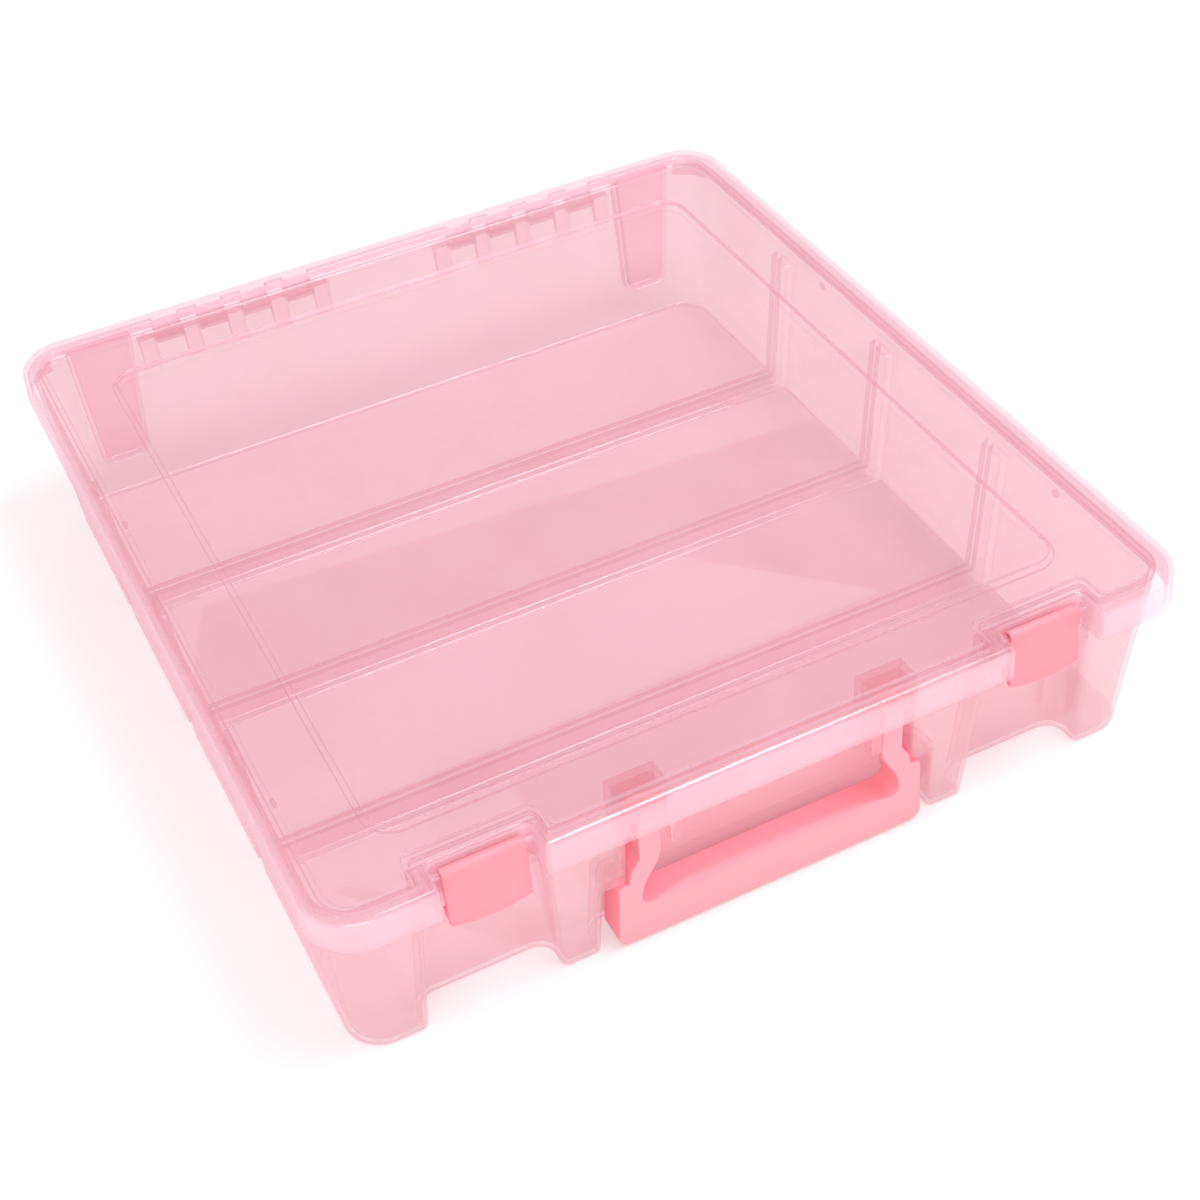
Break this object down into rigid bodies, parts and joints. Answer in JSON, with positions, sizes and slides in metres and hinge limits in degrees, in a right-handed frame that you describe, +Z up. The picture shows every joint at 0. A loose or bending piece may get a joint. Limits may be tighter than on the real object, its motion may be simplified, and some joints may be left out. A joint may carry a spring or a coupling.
{
  "type": "lidded craft storage satchel box",
  "caption": "Flat translucent storage box with a hinged lid that has a raised border, two snap latches at the front and a swinging carry handle recessed between them.",
  "frame": {"origin": "on the ground under the middle of the lid's outline", "axes": "+Z up, X along the front that carries the handle and latches, +Y towards the back and the hinges"},
  "size_m": [0.3556, 0.3871, 0.0869],
  "materials": {
    "tray_plastic": "translucent pale pink polypropylene, smooth",
    "lid_plastic": "translucent pale pink polypropylene, smooth",
    "coral_plastic": "opaque coral pink polypropylene, matte"
  },
  "bodies": {
    "base": {"base_tray": "tray_plastic"},
    "lid": {"lid": "lid_plastic"},
    "handle": {"handle": "coral_plastic"},
    "latch_left": {"latch_left": "coral_plastic"},
    "latch_right": {"latch_right": "coral_plastic"}
  },
  "joints": [
    {"name": "lid_hinge", "type": "hinge", "parent": "base", "child": "lid", "pos_m": [0, 0.18837, 0.075], "axis": [-1, 0, 0], "range_deg": [0, 105]},
    {"name": "latch_left_hinge", "type": "hinge", "parent": "lid", "child": "latch_left", "pos_m": [-0.1146, -0.18257, 0.0822], "axis": [-1, 0, 0], "range_deg": [0, 100]},
    {"name": "latch_right_hinge", "type": "hinge", "parent": "lid", "child": "latch_right", "pos_m": [0.1146, -0.18257, 0.0822], "axis": [-1, 0, 0], "range_deg": [0, 100]},
    {"name": "handle_pivot", "type": "hinge", "parent": "base", "child": "handle", "pos_m": [0, -0.17597, 0.066], "axis": [-1, 0, 0], "range_deg": [0, 90]}
  ]
}
